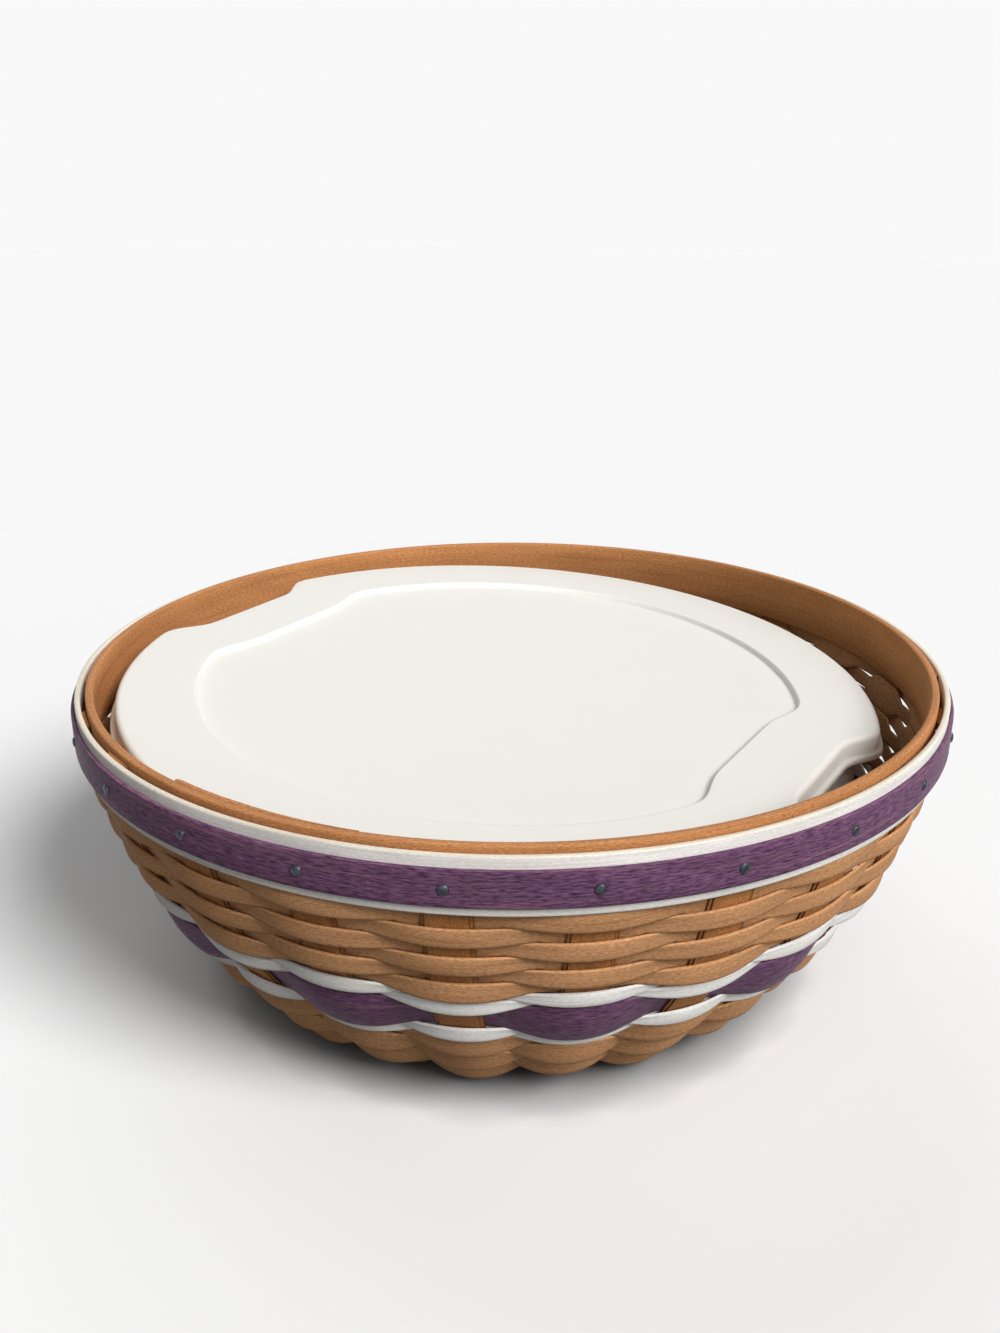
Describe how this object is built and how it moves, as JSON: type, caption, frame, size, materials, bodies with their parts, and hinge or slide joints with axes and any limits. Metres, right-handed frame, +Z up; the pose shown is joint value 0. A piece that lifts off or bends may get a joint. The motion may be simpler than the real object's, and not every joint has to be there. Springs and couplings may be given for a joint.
{
  "type": "lidded bowl basket",
  "caption": "Round woven splint bowl basket with a banded and tacked rim, a drop-in plastic liner and a notched lift-off plastic lid.",
  "frame": {"origin": "middle of the underside, on the bowl's axis", "axes": "+Z up along the bowl's axis, +X within 3 degrees of one of the lid's finger notches"},
  "size_m": [0.335, 0.335, 0.124],
  "materials": {
    "brown_splint": "stained splint with an open grain and a thin satin coat",
    "white_splint": "white-stained splint, satin",
    "purple_splint": "purple-stained splint, satin, with the grain showing",
    "inner_band_wood": "stained bent wood band, satin",
    "tack_steel": "dark steel tack heads",
    "liner_plastic": "clear milky plastic",
    "lid_plastic": "off-white satin plastic with light scuffs"
  },
  "bodies": {
    "basket": {"stake_01": "brown_splint", "stake_02": "brown_splint", "stake_03": "brown_splint", "stake_04": "brown_splint", "stake_05": "brown_splint", "stake_06": "brown_splint", "stake_07": "brown_splint", "stake_08": "brown_splint", "stake_09": "brown_splint", "stake_10": "brown_splint", "stake_11": "brown_splint", "stake_12": "brown_splint", "brown_weaver_1": "brown_splint", "brown_weaver_2": "brown_splint", "brown_weaver_3": "brown_splint", "brown_weaver_4": "brown_splint", "brown_weaver_5": "brown_splint", "brown_weaver_6": "brown_splint", "white_weaver_1": "white_splint", "white_weaver_2": "white_splint", "purple_weaver": "purple_splint", "white_weaver_3": "white_splint", "white_weaver_4": "white_splint", "lower_weaver_1": "brown_splint", "lower_weaver_2": "brown_splint", "lower_weaver_3": "brown_splint", "lower_weaver_4": "brown_splint", "lower_weaver_5": "brown_splint", "base_weaver_1": "brown_splint", "base_weaver_2": "brown_splint", "base_weaver_3": "brown_splint", "inner_band": "inner_band_wood", "outer_band": "white_splint", "trim_strip": "purple_splint", "tack_01": "tack_steel", "tack_02": "tack_steel", "tack_03": "tack_steel", "tack_04": "tack_steel", "tack_05": "tack_steel", "tack_06": "tack_steel", "tack_07": "tack_steel", "tack_08": "tack_steel", "tack_09": "tack_steel", "tack_10": "tack_steel", "tack_11": "tack_steel", "tack_12": "tack_steel", "tack_13": "tack_steel", "tack_14": "tack_steel", "tack_15": "tack_steel", "tack_16": "tack_steel", "tack_17": "tack_steel", "tack_18": "tack_steel", "tack_19": "tack_steel", "tack_20": "tack_steel", "tack_21": "tack_steel", "tack_22": "tack_steel", "tack_23": "tack_steel", "tack_24": "tack_steel"},
    "liner": {"liner": "liner_plastic"},
    "lid": {"lid": "lid_plastic"}
  },
  "joints": [
    {"name": "liner_lift", "type": "slide", "parent": "basket", "child": "liner", "axis": [0, 0, 1], "range_m": [0, 0.13]},
    {"name": "lid_lift", "type": "slide", "parent": "liner", "child": "lid", "axis": [0.0523, 0, 0.9986], "range_m": [0, 0.06]}
  ]
}
